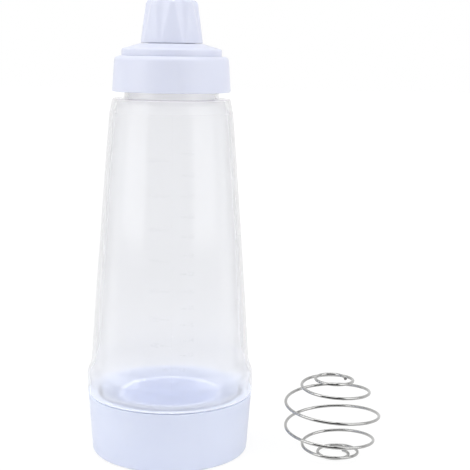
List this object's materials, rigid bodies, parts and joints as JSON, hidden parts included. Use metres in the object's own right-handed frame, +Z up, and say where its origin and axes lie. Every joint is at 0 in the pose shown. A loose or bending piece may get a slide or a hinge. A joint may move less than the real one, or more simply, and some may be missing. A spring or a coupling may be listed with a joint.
{
  "type": "batter shaker bottle",
  "caption": "Tapered translucent batter shaker bottle with a screw-on base cup, a collar and spout dome, a fluted twist cap and a loose wire whisk ball.",
  "frame": {"origin": "centre of the base cup's underside, on the surface that the bottle stands on", "axes": "+Z up along the bottle's axis, the capacity scale faces -Y, and the whisk ball stands on the +X side"},
  "size_m": [0.1766, 0.0996, 0.2686],
  "materials": {
    "lavender_plastic": "satin moulded polypropylene, pale lavender",
    "clear_plastic": "hazy, nearly clear moulded polypropylene",
    "silicone": "translucent white silicone",
    "steel_wire": "polished stainless wire"
  },
  "bodies": {
    "base": {"base_cap": "lavender_plastic"},
    "base_seal": {"base_seal": "silicone"},
    "bottle": {"bottle_body": "clear_plastic"},
    "spout": {"spout_dome": "lavender_plastic", "lid_seal": "silicone"},
    "collar": {"lid_collar": "lavender_plastic"},
    "plug": {"cap_plug": "silicone"},
    "cap": {"nozzle_cap": "lavender_plastic"},
    "whisk": {"whisk_ball": "steel_wire"}
  },
  "joints": [
    {"name": "bottle_rise", "type": "slide", "parent": "base", "child": "base_seal", "axis": [0, 0, 1], "range_m": [0, 0.02025]},
    {"name": "bottle_turn", "type": "hinge", "parent": "base_seal", "child": "bottle", "pos_m": [0, 0, 0], "axis": [0, 0, 1], "range_deg": [0, 830]},
    {"name": "lid_rise", "type": "slide", "parent": "bottle", "child": "spout", "axis": [0, 0, 1], "range_m": [0, 0.018]},
    {"name": "collar_turn", "type": "hinge", "parent": "spout", "child": "collar", "pos_m": [0, 0, 0], "axis": [0, 0, 1], "range_deg": [0, 740]},
    {"name": "cap_rise", "type": "slide", "parent": "spout", "child": "plug", "axis": [0, 0, 1], "range_m": [0, 0.021]},
    {"name": "cap_turn", "type": "hinge", "parent": "plug", "child": "cap", "pos_m": [0, 0, 0], "axis": [0, 0, 1], "range_deg": [0, 860]},
    {"name": "whisk_lift", "type": "slide", "parent": "base", "child": "whisk", "axis": [0, 0, 1], "range_m": [0, 0.12]}
  ],
  "couplings": [
    {"joint": "bottle_turn", "follows": "bottle_rise", "rad_per_m": 698.13},
    {"joint": "collar_turn", "follows": "lid_rise", "rad_per_m": 698.13},
    {"joint": "cap_turn", "follows": "cap_rise", "rad_per_m": 698.13}
  ]
}
